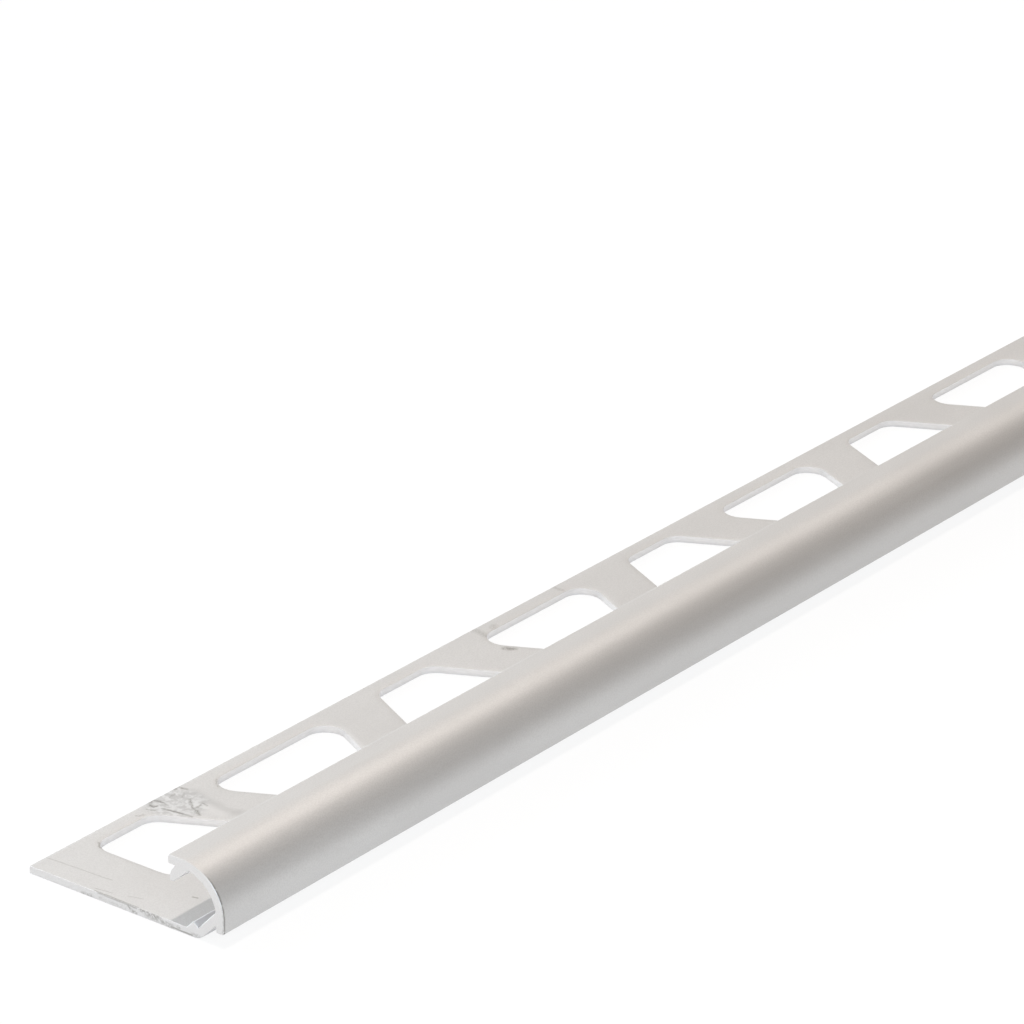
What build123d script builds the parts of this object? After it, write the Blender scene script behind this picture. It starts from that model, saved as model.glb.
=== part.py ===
from build123d import *
import math
import os

# A quarter-round edge trim for tiles, extruded in aluminium and punched along
# its anchoring leg. Millimetres. The bar lies along X on its leg's underside,
# the round wall is on the -Y side, and the leg reaches to the +Y side.
# Heights are measured from the underside of the leg. Places across the bar
# are measured from the outer face of the round wall.

# The bar
length = 1000.0
width = 31.2
height = 10.0

# The flat leg that is bedded under the tiles
leg_thickness = 1.05
leg_edge_radius = 0.15

# The quarter round and the lip that laps towards the tile
wall_thickness = 1.2
round_radius = 6.45
lip_land = 2.3
edge_radius = 0.2

# The sloping web between the leg and the wall, and the leg's rounded heel
web_angle = 48.0
web_thickness = 1.2
web_foot_height = 2.75
wall_overhang = 0.95
heel_radius = 2.4
notch_radius = 0.1
root_radius = 0.3

# The rib on the leg that closes the connector channel from below
groove_height = 1.5
rib_face = 1.05

# The fin under the lip that closes the connector channel from above
fin_angle = 43.0
fin_face = 3.2
fin_root_inset = 0.9
fin_root_width = 2.1
fin_tip_width = 0.6
fin_back_bulge = 0.28
fin_tip_radius = 0.15

# The punched trapezoids, which stand one way and then the other. At the even
# depth, measured from their back edge, all of them are equally wide.
hole_pitch = 29.0
hole_depth = 14.1
hole_even_depth = 7.35
hole_edge_margin = 2.3
strut_width = 9.7
strut_slant = 0.54
hole_corner_radius = 2.8
start_strip = 9.0
least_end_strip = 6.0
punch_clearance = 0.5

# Places on the section that follow from the sizes above
slope = math.radians(web_angle)
inner_radius = round_radius - wall_thickness
round_centre_height = height - round_radius
lip_width = round_radius + lip_land
lip_underside = height - wall_thickness
wall_tip_height = web_foot_height - wall_overhang
web_top_height = web_foot_height + web_thickness / math.cos(slope)
heel_corner = wall_thickness + web_foot_height / math.tan(slope)
heel_tangent = heel_radius * math.tan(slope / 2)
groove_across = wall_thickness + (web_top_height - groove_height) / math.tan(slope)
rib_peak_across = groove_across + rib_face * math.sin(slope)
rib_peak_height = groove_height + rib_face * math.cos(slope)
rib_foot_across = rib_peak_across + (rib_peak_height - leg_thickness) / math.tan(slope)
half_wall = wall_thickness / 2
fin_slope = math.radians(fin_angle)
fin_root_across = round_radius - fin_root_inset
fin_root_height = round_centre_height + math.sqrt(inner_radius**2 - fin_root_inset**2)
fin_tip_across = fin_root_across + fin_face * math.cos(fin_slope)
fin_tip_height = fin_root_height - fin_face * math.sin(fin_slope)
fin_back_across = fin_root_across + fin_root_width

# Places on the leg that follow from the sizes above
even_half = (hole_pitch - strut_width) / 2
back_taper = strut_slant * hole_even_depth
front_taper = strut_slant * (hole_depth - hole_even_depth)
hole_back = width - hole_edge_margin
hole_front = hole_back - hole_depth
first_centre = start_strip + even_half - back_taper
last_centre_limit = length - least_end_strip - even_half - max(back_taper, front_taper)
hole_count = math.floor((last_centre_limit - first_centre) / hole_pitch) + 1


def at(across, up):
    """Point of the section, from its place across the bar and its height."""
    return (across - width / 2, up)


def arc_point(radius, angle):
    """Point on an arc about the round's centre, with the angle in degrees up from the wall."""
    turn = math.radians(angle)
    return at(round_radius - radius * math.cos(turn), round_centre_height + radius * math.sin(turn))


def wall_outline():
    """The round wall, from its lower tip over the quarter round to the lip's edge."""
    with BuildSketch() as sketch:
        with BuildLine():
            Polyline(
                arc_point(inner_radius, 0),
                at(wall_thickness, wall_tip_height),
                at(0, wall_tip_height),
                arc_point(round_radius, 0),
            )
            ThreePointArc(
                arc_point(round_radius, 0),
                arc_point(round_radius, 45),
                arc_point(round_radius, 90),
            )
            Polyline(
                arc_point(round_radius, 90),
                at(lip_width, height),
                at(lip_width, lip_underside),
                arc_point(inner_radius, 90),
            )
            ThreePointArc(
                arc_point(inner_radius, 90),
                arc_point(inner_radius, 45),
                arc_point(inner_radius, 0),
            )
        make_face()
    return sketch.sketch


def leg_outline():
    """The flat leg, its rounded heel and the web that climbs to the middle of the wall."""
    rise = half_wall * math.tan(slope)
    heel_start = at(heel_corner + heel_tangent, 0)
    heel_end = at(heel_corner - heel_tangent * math.cos(slope), heel_tangent * math.sin(slope))
    with BuildSketch() as sketch:
        with BuildLine():
            Polyline(at(rib_foot_across, leg_thickness), at(width, leg_thickness), at(width, 0), heel_start)
            TangentArc(heel_start, heel_end, tangent=(-1, 0))
            Polyline(
                heel_end,
                at(half_wall, web_foot_height + rise),
                at(half_wall, web_top_height + rise),
                at(groove_across, groove_height),
                at(rib_peak_across, rib_peak_height),
                at(rib_foot_across, leg_thickness),
            )
        make_face()
    return sketch.sketch


def fin_outline():
    """The tapered fin, rooted in the middle of the lip's thickness."""
    root_reach = half_wall / math.sin(fin_slope)
    root_inside = at(fin_root_across - root_reach * math.cos(fin_slope), fin_root_height + half_wall)
    with BuildSketch() as sketch:
        with BuildLine():
            Polyline(
                at(fin_back_across, lip_underside),
                at(fin_back_across, lip_underside + half_wall),
                root_inside,
                at(fin_tip_across, fin_tip_height),
                at(fin_tip_across + fin_tip_width, fin_tip_height),
            )
            SagittaArc(
                at(fin_tip_across + fin_tip_width, fin_tip_height),
                at(fin_back_across, lip_underside),
                -fin_back_bulge,
            )
        make_face()
    return sketch.sketch


def round_long_edges(bar, places, radius):
    """Round the bar's long edges that pass through the given places of the section."""
    long_edges = bar.edges().filter_by(Axis.X)
    chosen = [long_edges.sort_by_distance((0, place[0], place[1]))[0] for place in places]
    return fillet(chosen, radius)


def extruded_bar():
    """The section drawn out along X, with its long edges and the web's roots rounded."""
    section = (wall_outline() + leg_outline() + fin_outline()).clean()
    bar = extrude(Plane.YZ * section, amount=length / 2, both=True).clean()
    notch = [at(wall_thickness, web_foot_height)]
    web_root = [at(wall_thickness, web_top_height)]
    wall_edges = [at(0, wall_tip_height), at(wall_thickness, wall_tip_height)]
    lip_edges = [at(lip_width, height), at(lip_width, lip_underside)]
    leg_edges = [at(width, 0), at(width, leg_thickness)]
    fin_tip = [at(fin_tip_across, fin_tip_height), at(fin_tip_across + fin_tip_width, fin_tip_height)]
    bar = round_long_edges(bar, notch, notch_radius)
    bar = round_long_edges(bar, web_root, root_radius)
    bar = round_long_edges(bar, wall_edges + lip_edges, edge_radius)
    bar = round_long_edges(bar, fin_tip, fin_tip_radius)
    return round_long_edges(bar, leg_edges, leg_edge_radius)


def hole_outline(index):
    """One punched trapezoid in plan: narrow at the leg's free edge when the index is even.

    The first one is square to the bar on its near side, so that the strip at the bar's end stays whole.
    """
    centre = first_centre + index * hole_pitch - length / 2
    turned = -1 if index % 2 == 0 else 1
    back_half = even_half + turned * back_taper
    front_half = even_half - turned * front_taper
    near_front = back_half if index == 0 else front_half
    back = hole_back - width / 2
    front = hole_front - width / 2
    with BuildSketch() as sketch:
        with BuildLine():
            Polyline(
                (centre - back_half, back),
                (centre - near_front, front),
                (centre + front_half, front),
                (centre + back_half, back),
                close=True,
            )
        make_face()
        fillet(sketch.vertices(), hole_corner_radius)
    return sketch.sketch


def edge_trim():
    """The bar with the row of trapezoids punched through its leg."""
    punches = [
        extrude(Pos(0, 0, -punch_clearance) * hole_outline(index), amount=leg_thickness + 2 * punch_clearance)
        for index in range(hole_count)
    ]
    return extruded_bar() - punches


trim = edge_trim()
trim.label = "edge_trim"
os.makedirs("parts", exist_ok=True)
export_step(trim, "parts/edge_trim.step")
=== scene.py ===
# %% [markdown]
# # A quarter-round edge trim for tiles
# This lesson dresses one extruded aluminium bar. The bar has a flat leg that is bedded under the
# tiles, a row of trapezoids punched through that leg, and a quarter round that covers the tile's
# edge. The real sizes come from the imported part, which is loaded first and never moved. Blender
# adds what a solid model can't carry: finely rounded edges, the dip that a punch leaves round each
# hole, a satin skin, saw-cut ends and a few marks.

import math

import bpy
import numpy as np
from mathutils import Matrix, Vector


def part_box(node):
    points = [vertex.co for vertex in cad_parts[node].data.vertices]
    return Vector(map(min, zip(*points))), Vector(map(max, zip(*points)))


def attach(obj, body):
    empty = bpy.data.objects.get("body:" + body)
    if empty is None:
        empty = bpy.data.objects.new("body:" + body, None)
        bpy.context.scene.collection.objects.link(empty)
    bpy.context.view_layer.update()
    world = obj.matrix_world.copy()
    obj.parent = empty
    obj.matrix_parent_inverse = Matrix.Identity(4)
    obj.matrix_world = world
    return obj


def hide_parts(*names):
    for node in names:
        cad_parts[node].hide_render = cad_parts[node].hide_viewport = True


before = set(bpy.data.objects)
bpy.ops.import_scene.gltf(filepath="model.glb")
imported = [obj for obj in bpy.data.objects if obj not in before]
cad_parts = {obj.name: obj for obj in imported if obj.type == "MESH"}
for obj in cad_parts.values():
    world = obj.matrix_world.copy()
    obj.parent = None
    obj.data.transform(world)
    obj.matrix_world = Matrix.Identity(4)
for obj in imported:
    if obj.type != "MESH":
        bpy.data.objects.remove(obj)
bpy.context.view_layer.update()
low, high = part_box("edge_trim")
MM = 0.001
LENGTH, WIDTH, HEIGHT = ((high[axis] - low[axis]) / MM for axis in range(3))
print(f"bar of {LENGTH:.1f} x {WIDTH:.1f} x {HEIGHT:.1f} mm")

# %% [markdown]
# ## The sizes of the section
# An extruded bar has one section from end to end, so its sizes are the first thing to write down.
# They are in millimetres, as on a die drawing: places across the bar are measured from the outer
# face of the round wall, and heights from the underside of the leg. They are the sizes of the part,
# so the skin made from them lies on the part's own faces.

# %% Sizes of the section
LEG_THICKNESS = 1.05
LEG_EDGE_RADIUS = 0.15
WALL_THICKNESS = 1.2
ROUND_RADIUS = 6.45
LIP_LAND = 2.3
EDGE_RADIUS = 0.2
WALL_TIP_HEIGHT = 1.8
WEB_SLOPE = math.radians(48.0)
WEB_THICKNESS = 1.2
WEB_FOOT_HEIGHT = 2.75
HEEL_RADIUS = 2.4
NOTCH_RADIUS = 0.1
ROOT_RADIUS = 0.3
GROOVE_HEIGHT = 1.5
CREASE_RADIUS = 0.05
RIB_FACE = 1.05
RIB_RADIUS = 0.15
FIN_SLOPE = math.radians(43.0)
FIN_FACE = 3.2
FIN_ROOT_INSET = 0.9
FIN_ROOT_WIDTH = 2.1
FIN_TIP_WIDTH = 0.6
FIN_BACK_BULGE = 0.28
FIN_TIP_RADIUS = 0.15

INNER_RADIUS = ROUND_RADIUS - WALL_THICKNESS
ROUND_CENTRE = np.array([ROUND_RADIUS, HEIGHT - ROUND_RADIUS])
LIP_WIDTH = ROUND_RADIUS + LIP_LAND
LIP_UNDERSIDE = HEIGHT - WALL_THICKNESS
print(f"lip {LIP_WIDTH:.2f} mm wide over a leg {LEG_THICKNESS:.2f} mm thick")

# %% [markdown]
# ## A path with rounded corners
# A die never cuts a perfectly sharp corner, and a rounded edge is what catches the light. The
# outline could be drawn sharp and given a Bevel modifier, but the radii differ from corner to
# corner, so one function rounds them all at once. Extra points just beside each bend hold the
# flats flat when the mesh is shaded smooth.

# %% Functions for outlines
ARC_STEPS = 6
HOLD = 0.05  # how far a held point lies from its bend
LONG_ENOUGH = 0.6  # the shortest straight that gets held points
UNROUNDED = 1e-6  # the radius of a corner that stays sharp
SAME_POINT = 1e-4  # points closer than this are one
LEAST_BEND = 1e-4  # in radians, so that a straight corner has an arc too
TINY = 1e-12


def unit(vectors):
    """The vectors divided by their own lengths."""
    return vectors / np.linalg.norm(vectors, axis=-1, keepdims=True)


def arc(centre, radius, start, end, count):
    """Points on a circle: the centre plus the radius times the cosine and sine of even angles."""
    angles = np.radians(np.linspace(start, end, count))
    return centre + radius * np.stack([np.cos(angles), np.sin(angles)], axis=1)


def rounded(corners, radii):
    """An open path with its corners rounded.

    At a corner p, with unit arms u and v to its neighbours and half the angle between them h, the
    arc's centre is p + (u + v) / |u + v| * r / sin(h), and the arc meets each arm r / tan(h) from
    p. Points on the arc turn evenly from one arm to the other, seen from its centre.
    """
    p = corners[1:-1]
    r = np.maximum(radii[1:-1], UNROUNDED)[:, None]
    u = unit(corners[:-2] - p)
    v = unit(corners[2:] - p)
    half = 0.5 * np.arccos(np.clip((u * v).sum(1, keepdims=True), -1, 1 - TINY))
    bend = np.minimum(half, math.pi / 2 - LEAST_BEND)
    middle = unit(u + v + TINY * np.stack([-u[:, 1], u[:, 0]], axis=1))
    centre = p + middle * r / np.sin(bend)
    reach = r / np.tan(bend)
    first, last = ((p + arm * reach - centre)[:, None] for arm in (u, v))
    sweep = (math.pi - 2 * bend)[:, None]
    gone = np.linspace(0, 1, ARC_STEPS + 1)[None, :, None]
    turned = np.sin((1 - gone) * sweep) * first + np.sin(gone * sweep) * last
    arcs = centre[:, None] + turned / np.sin(sweep)
    path = np.concatenate([corners[:1], arcs.reshape(-1, 2), corners[-1:]])
    apart = np.linalg.norm(np.diff(path, axis=0), axis=1) > SAME_POINT
    return path[np.concatenate([[True], apart])]


def held(path):
    """The path with a point just inside both ends of each long straight, HOLD away from its end."""
    step = np.diff(path, axis=0)
    size = np.linalg.norm(step, axis=1, keepdims=True)
    hold = step / size * HOLD
    trio = np.stack([path[:-1], path[:-1] + hold, path[1:] - hold], axis=1)
    keep = np.repeat(size > LONG_ENOUGH, 3, axis=1)
    keep[:, 0] = True
    return np.concatenate([trio[keep], path[-1:]])


def with_radii(*parts):
    """Corners and their radii as two arrays, from pairs of one or more corners and their radius."""
    corners = [np.atleast_2d(places) for places, _ in parts]
    radii = [np.full(len(block), radius) for block, (_, radius) in zip(corners, parts)]
    return np.concatenate(corners), np.concatenate(radii)


# %% [markdown]
# ## The section
# The outline runs from the top of the leg to the rib, down into the groove and up the sloping web,
# round the inside of the quarter round, along the fin that hangs from the lip, round the lip's
# edge, over the quarter round, round the wall's lower edge, and back along the web's underside to
# the leg's underside. The other end of the leg is a short outline of its own. Only the punched
# middle of the leg is left out, for the next step.

# %% Corners of the leg, the rib and the web
BAND_FRONT = 12.6
BAND_MARGIN = 0.6
BAND_BACK = WIDTH - BAND_MARGIN

web_top_height = WEB_FOOT_HEIGHT + WEB_THICKNESS / math.cos(WEB_SLOPE)
groove_across = WALL_THICKNESS + (web_top_height - GROOVE_HEIGHT) / math.tan(WEB_SLOPE)
groove = np.array([groove_across, GROOVE_HEIGHT])
rib_peak = groove + RIB_FACE * np.array([math.sin(WEB_SLOPE), math.cos(WEB_SLOPE)])
rib_foot_across = rib_peak[0] + (rib_peak[1] - LEG_THICKNESS) / math.tan(WEB_SLOPE)
rib_foot = np.array([rib_foot_across, LEG_THICKNESS])
heel_corner = np.array([WALL_THICKNESS + WEB_FOOT_HEIGHT / math.tan(WEB_SLOPE), 0.0])

# The web's upper face climbs until it meets the inside of the round: a line against a circle.
up_web = np.array([-math.cos(WEB_SLOPE), math.sin(WEB_SLOPE)])
to_centre = ROUND_CENTRE - groove
along = to_centre @ up_web
climb = along + math.sqrt(INNER_RADIUS**2 - to_centre @ to_centre + along**2)
web_root = groove + up_web * climb
print(f"the web's upper face climbs {climb:.2f} mm from the groove to the wall")

# %% The quarter round and the fin
INSIDE_POINTS = 21
OUTSIDE_POINTS = 33
BULGE_POINTS = 7

root_angle = 180 - math.degrees(math.asin((web_root[1] - ROUND_CENTRE[1]) / INNER_RADIUS))
fin_angle = math.degrees(math.acos(-FIN_ROOT_INSET / INNER_RADIUS))
inside_round = arc(ROUND_CENTRE, INNER_RADIUS, root_angle, fin_angle, INSIDE_POINTS)
outer_round = arc(ROUND_CENTRE, ROUND_RADIUS, 90, 180, OUTSIDE_POINTS)

fin_tip = inside_round[-1] + FIN_FACE * np.array([math.cos(FIN_SLOPE), -math.sin(FIN_SLOPE)])
fin_heel = fin_tip + np.array([FIN_TIP_WIDTH, 0.0])
fin_back = np.array([inside_round[-1, 0] + FIN_ROOT_WIDTH, LIP_UNDERSIDE])

# The fin's back is a parabola. It stands off its straight by 4 s (1 - s) times the bulge.
up_fin = np.linspace(0, 1, BULGE_POINTS + 2)[1:-1, None]
outward = unit(np.array([fin_back[1] - fin_heel[1], fin_heel[0] - fin_back[0]]))
straight = fin_heel + (fin_back - fin_heel) * up_fin
bulge = straight + outward * FIN_BACK_BULGE * 4 * up_fin * (1 - up_fin)
print(f"the fin's tip hangs {HEIGHT - fin_tip[1]:.2f} mm below the top of the lip")

# %% Outline of the front and back of the section
front_corners, front_radii = with_radii(
    ([BAND_FRONT, LEG_THICKNESS], 0.0),
    (rib_foot, CREASE_RADIUS),
    (rib_peak, RIB_RADIUS),
    (groove, CREASE_RADIUS),
    (inside_round[0], ROOT_RADIUS / 2),
    (inside_round[1:], 0.0),
    ([fin_tip, fin_heel], FIN_TIP_RADIUS),
    (bulge, 0.0),
    (fin_back, 0.0),
    ([[LIP_WIDTH, LIP_UNDERSIDE], [LIP_WIDTH, HEIGHT]], EDGE_RADIUS),
    (outer_round, 0.0),
    ([[0.0, WALL_TIP_HEIGHT], [WALL_THICKNESS, WALL_TIP_HEIGHT]], EDGE_RADIUS),
    ([WALL_THICKNESS, WEB_FOOT_HEIGHT], NOTCH_RADIUS),
    (heel_corner, HEEL_RADIUS),
    ([BAND_FRONT, 0.0], 0.0),
)
back_corners, back_radii = with_radii(
    ([BAND_BACK, 0.0], 0.0),
    ([[WIDTH, 0.0], [WIDTH, LEG_THICKNESS]], LEG_EDGE_RADIUS),
    ([BAND_BACK, LEG_THICKNESS], 0.0),
)
front_path = held(rounded(front_corners, front_radii))
back_path = held(rounded(back_corners, back_radii))
print(f"the front outline has {len(front_path)} points and the back one {len(back_path)}")

# %% [markdown]
# ## The row of punched holes
# The leg is punched with trapezoids that stand one way and then the other, so that the strips left
# between them lean like the braces of a truss. Each hole has one side towards the wall and one
# towards the free edge. The first hole is square on its near side, which leaves a whole strip at
# the end of the bar. All the corners are worked out as one array: holes by corners by two places.

# %% Sizes of the row of holes
HOLE_PITCH = 29.0
HOLE_DEPTH = 14.1
HOLE_EVEN_DEPTH = 7.35
HOLE_EDGE_MARGIN = 2.3
HOLE_RADIUS = 2.8
STRUT_WIDTH = 9.7
STRUT_SLANT = 0.54
START_STRIP = 9.0
LEAST_END_STRIP = 6.0

even_half = (HOLE_PITCH - STRUT_WIDTH) / 2
back_taper = STRUT_SLANT * HOLE_EVEN_DEPTH
front_taper = STRUT_SLANT * (HOLE_DEPTH - HOLE_EVEN_DEPTH)
widest_half = even_half + max(back_taper, front_taper)
hole_back = WIDTH - HOLE_EDGE_MARGIN
hole_front = hole_back - HOLE_DEPTH
hole_middle = hole_back - HOLE_EVEN_DEPTH
first_centre = START_STRIP + even_half - back_taper
room = LENGTH - LEAST_END_STRIP - widest_half - first_centre
hole_count = math.floor(room / HOLE_PITCH) + 1
print(f"{hole_count} holes, {HOLE_PITCH:.1f} mm apart")

# %% Corners of the holes and of the cells round them
number = np.arange(hole_count)
centres = first_centre + HOLE_PITCH * number
turned = np.where(number % 2 == 0, -1, 1)
back_half = even_half + turned * back_taper
front_half = even_half - turned * front_taper
near_front_half = np.where(number == 0, back_half, front_half)


def four(near_front, far_front, far_back, near_back, front, back):
    """Corners in the order near front, far front, far back, near back.

    Seen from above, this order turns to the left.
    """
    along_bar = np.stack([near_front, far_front, far_back, near_back], axis=1)
    across = np.broadcast_to([front, front, back, back], along_bar.shape)
    return np.stack([along_bar, across], axis=2)


hole_corners = four(
    centres - near_front_half,
    centres + front_half,
    centres + back_half,
    centres - back_half,
    hole_front,
    hole_back,
)
lean = turned * STRUT_SLANT
far_front = centres + HOLE_PITCH / 2 + lean * (BAND_FRONT - hole_middle)
far_back = centres + HOLE_PITCH / 2 + lean * (BAND_BACK - hole_middle)
last_end = (LENGTH + centres[-1] + widest_half) / 2
far_front[-1] = far_back[-1] = last_end
near_front = np.concatenate([[START_STRIP / 2], far_front[:-1]])
near_back = np.concatenate([[START_STRIP / 2], far_back[:-1]])
cell_corners = four(near_front, far_front, far_back, near_back, BAND_FRONT, BAND_BACK)
print(f"the last hole ends {LENGTH - centres[-1] - widest_half:.1f} mm from the far end")

# %% [markdown]
# ## The edge that a punch leaves
# A punch draws the top of the sheet down before it cuts, so the rim of each hole rolls over softly,
# the cut wall under it is upright, and the bottom edge breaks away. A Boolean cut would leave a
# hard edge and ragged faces. Instead one small profile of that edge is carried round each hole's
# outline, out to the borders of its cell, where the neighbours begin.

# %% The outline of a hole, grown by an offset
SIDES = 4
CORNER_STEPS = 8
SIDE_STEPS = CORNER_STEPS + 2

arm_on = unit(np.roll(hole_corners, -1, axis=1) - hole_corners)
arm_back = -np.roll(arm_on, 1, axis=1)
half_angle = 0.5 * np.arccos((arm_on * arm_back).sum(2, keepdims=True))
bisector = unit(arm_on + arm_back)
corner_centres = hole_corners + bisector * HOLE_RADIUS / np.sin(half_angle)


def hole_loop(offset):
    """The hole's outline grown by an offset, as holes by points by two places.

    A corner's arc keeps its centre and has the corner radius plus the offset. Its points turn
    evenly from the outward side of one straight to that of the next. One more point lies halfway
    along each straight. The first point is the middle of the first arc.
    """
    start = np.arctan2(arm_back[..., 0], -arm_back[..., 1])
    sweep = math.pi - 2 * half_angle[..., 0]
    turn = start[..., None] + sweep[..., None] * np.linspace(0, 1, CORNER_STEPS + 1)
    ring = np.stack([np.cos(turn), np.sin(turn)], axis=3) * (HOLE_RADIUS + offset)
    arcs = corner_centres[:, :, None] + ring
    halfway = (arcs[:, :, -1:] + np.roll(arcs[:, :, :1], -1, axis=1)) / 2
    loop = np.concatenate([arcs, halfway], axis=2).reshape(hole_count, -1, 2)
    return np.roll(loop, -(CORNER_STEPS // 2), axis=1)


print(f"{SIDES * SIDE_STEPS} points round each hole")


# %% The border of each cell
def cell_loop():
    """The border of each cell, as cells by points by two places, matched to the hole's points.

    On a side between two cells the steps are even, so that both cells have the same points there.
    On a side along the bar, each step is the mean of the even one and of the one that the hole's
    outline makes there.
    """
    rim = hole_loop(0.0)
    closed_rim = np.concatenate([rim, rim[:, :1]], axis=1)
    steps = np.linalg.norm(np.diff(closed_rim, axis=1), axis=2)
    walked = np.cumsum(steps, axis=1).reshape(hole_count, SIDES, SIDE_STEPS)
    begun = np.concatenate([np.zeros((hole_count, 1)), walked[:, :-1, -1]], axis=1)[..., None]
    matched = (walked - begun) / (walked[..., -1:] - begun)
    matched = np.concatenate([np.zeros((hole_count, SIDES, 1)), matched[..., :-1]], axis=2)
    even = np.linspace(0, 1, SIDE_STEPS, endpoint=False)
    gone = (matched + even) / 2
    gone[:, 1::2] = even
    side = np.roll(cell_corners, -1, axis=1) - cell_corners
    places = cell_corners[:, :, None] + side[:, :, None] * gone[..., None]
    return places.reshape(hole_count, -1, 2)


# %% Carry the edge profile round every hole
ROLL_WIDTH = 0.8
ROLL_DEPTH = 0.045
ROLL_POINTS = 6
BREAK_WIDTH = 0.06
CUT_FACES = slice(2, 5)  # the faces between these rows are the broken edge and the cut wall


def edge_rows():
    """Rows of the edge profile, each an offset from the hole's outline and a height.

    They go from the underside up the broken edge and the cut wall, and over the rolled rim to the
    top. The rolled rim is a parabola: it starts ROLL_DEPTH below the top and rises with the square
    of the share of ROLL_WIDTH that is left.
    """
    left = np.linspace(1, 0, ROLL_POINTS)
    roll = [(ROLL_WIDTH * (1 - part), LEG_THICKNESS - ROLL_DEPTH * part**2) for part in left]
    half_wall = (LEG_THICKNESS - ROLL_DEPTH) / 2
    under = [(HOLD + BREAK_WIDTH, 0.0), (BREAK_WIDTH, 0.0), (0.0, BREAK_WIDTH), (0.0, half_wall)]
    return under + roll + [(ROLL_WIDTH + HOLD, LEG_THICKNESS)]


def at_height(loop, height):
    """A loop in plan lifted to one height: holes by points by three places."""
    return np.concatenate([loop, np.full((*loop.shape[:2], 1), height)], axis=2)


border = cell_loop()
profile = [at_height(hole_loop(grown), height) for grown, height in edge_rows()]
cells = np.stack([at_height(border, 0.0), *profile, at_height(border, LEG_THICKNESS)], axis=1)
print(f"each cell is a grid of {cells.shape[1]} rows by {cells.shape[2]} points")

# %% [markdown]
# ## The bar as one closed skin
# The front and back outlines are carried along the bar, with stations where the cells' borders have
# their points, so that everything meets point to point. At both ends a tiny bevel stands for the
# edge that a saw leaves, and the cut face closes the bar. Equal points are then made one, and the
# skin is tested: each edge has to belong to two faces.

# %% Functions for grids of faces
SATIN, PUNCHED, SAWN = range(3)
points, quads, quad_finish, caps = [], [], [], []


def row_frame(along_bar, across, up):
    """Points in the part's own frame, in millimetres.

    Places along and across are counted from the bar's middle, and heights stay as they are.
    """
    places = np.broadcast_arrays(along_bar - LENGTH / 2, across - WIDTH / 2, up)
    return np.stack(places, axis=-1)


def next_number():
    """How many points there are so far, which is the number of the next one."""
    return sum(len(block) for block in points)


def add_grid(grid, finish, wraps=False):
    """Faces between neighbours of a grid: (i, j), (i+1, j), (i+1, j+1), (i, j+1).

    They face along i cross j. A grid that wraps is joined from its last column to its first.
    """
    rows, columns = grid.shape[:2]
    label = next_number() + np.arange(rows * columns).reshape(rows, columns)
    label = np.concatenate([label, label[:, :1]], axis=1) if wraps else label
    around = [label[:-1, :-1], label[1:, :-1], label[1:, 1:], label[:-1, 1:]]
    quads.append(np.stack(around, axis=2).reshape(-1, 4))
    quad_finish.append(np.broadcast_to(finish, (rows - 1, label.shape[1] - 1)).ravel())
    points.append(grid.reshape(-1, 3))


# %% Stations along the bar, and the section drawn in at its ends
RIM_BEVEL = 0.05
STRIP_STEPS = 3
LEAST_MITRE = 0.6

border_sides = border.reshape(hole_count, SIDES, SIDE_STEPS, 2)
front_x = np.append(border_sides[:, 0, :, 0].ravel(), cell_corners[-1, 1, 0])
back_x = np.append(cell_corners[0, 3, 0], border_sides[:, 2, ::-1, 0].ravel())
near_inner = np.linspace(0, START_STRIP / 2, STRIP_STEPS + 1)[1:-1]
far_inner = np.linspace(last_end, LENGTH, STRIP_STEPS + 1)[1:-1]
near_strip = np.concatenate([[0.0, RIM_BEVEL], near_inner])
far_strip = np.concatenate([far_inner, [LENGTH - RIM_BEVEL, LENGTH]])

cross = BAND_BACK + (BAND_FRONT - BAND_BACK) * np.linspace(0, 1, SIDE_STEPS + 1)
top_path = np.stack([cross, np.full(SIDE_STEPS + 1, LEG_THICKNESS)], axis=1)
bottom_path = np.stack([cross[::-1], np.zeros(SIDE_STEPS + 1)], axis=1)
section = np.concatenate([front_path[:-1], bottom_path[:-1], back_path[:-1], top_path[:-1]])


def drawn_in(outline):
    """The closed outline moved into the metal by RIM_BEVEL.

    A point moves along the sum m of the unit normals of the two straights beside it, by RIM_BEVEL
    times m / (|m|^2 / 2), which moves each straight by RIM_BEVEL. The divisor is kept at
    LEAST_MITRE or more, so that sharp corners don't reach too far.
    """
    step = np.diff(np.concatenate([outline[-1:], outline, outline[:1]]), axis=0)
    normal = unit(np.stack([step[:, 1], -step[:, 0]], axis=1))
    mean = normal[:-1] + normal[1:]
    mitre = np.maximum((mean * mean).sum(1, keepdims=True) / 2, LEAST_MITRE)
    return outline - RIM_BEVEL * (mean / mitre)


sawn_outline = drawn_in(section)
print(f"{len(section)} points round the section, {len(front_x)} stations along the punched row")


# %% Carry the outlines along the bar
def carry(path, stations):
    """The outline at every station: path by stations by three places.

    At a sawn end, each point takes the place of its own point on the outline that is drawn in.
    """
    grid = row_frame(stations[None, :], path[:, 0:1], path[:, 1:2])
    own = np.argmin(((path[:, None] - section[None]) ** 2).sum(2), axis=1)
    finish = np.full(len(stations) - 1, SATIN)
    for end in (0, -1):
        if stations[end] in (0.0, LENGTH):
            grid[:, end] = row_frame(stations[end], *sawn_outline[own].T)
            finish[end] = SAWN
    add_grid(grid, finish[None, :])


carry(front_path, np.concatenate([near_strip, front_x, far_strip]))
carry(back_path, np.concatenate([near_strip, back_x, far_strip]))
for strip_path in (top_path, bottom_path):
    carry(strip_path, np.concatenate([near_strip, [START_STRIP / 2]]))
    carry(strip_path, np.concatenate([[last_end], far_strip]))
print(f"{sum(len(block) for block in quads)} faces before the cells")

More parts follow.
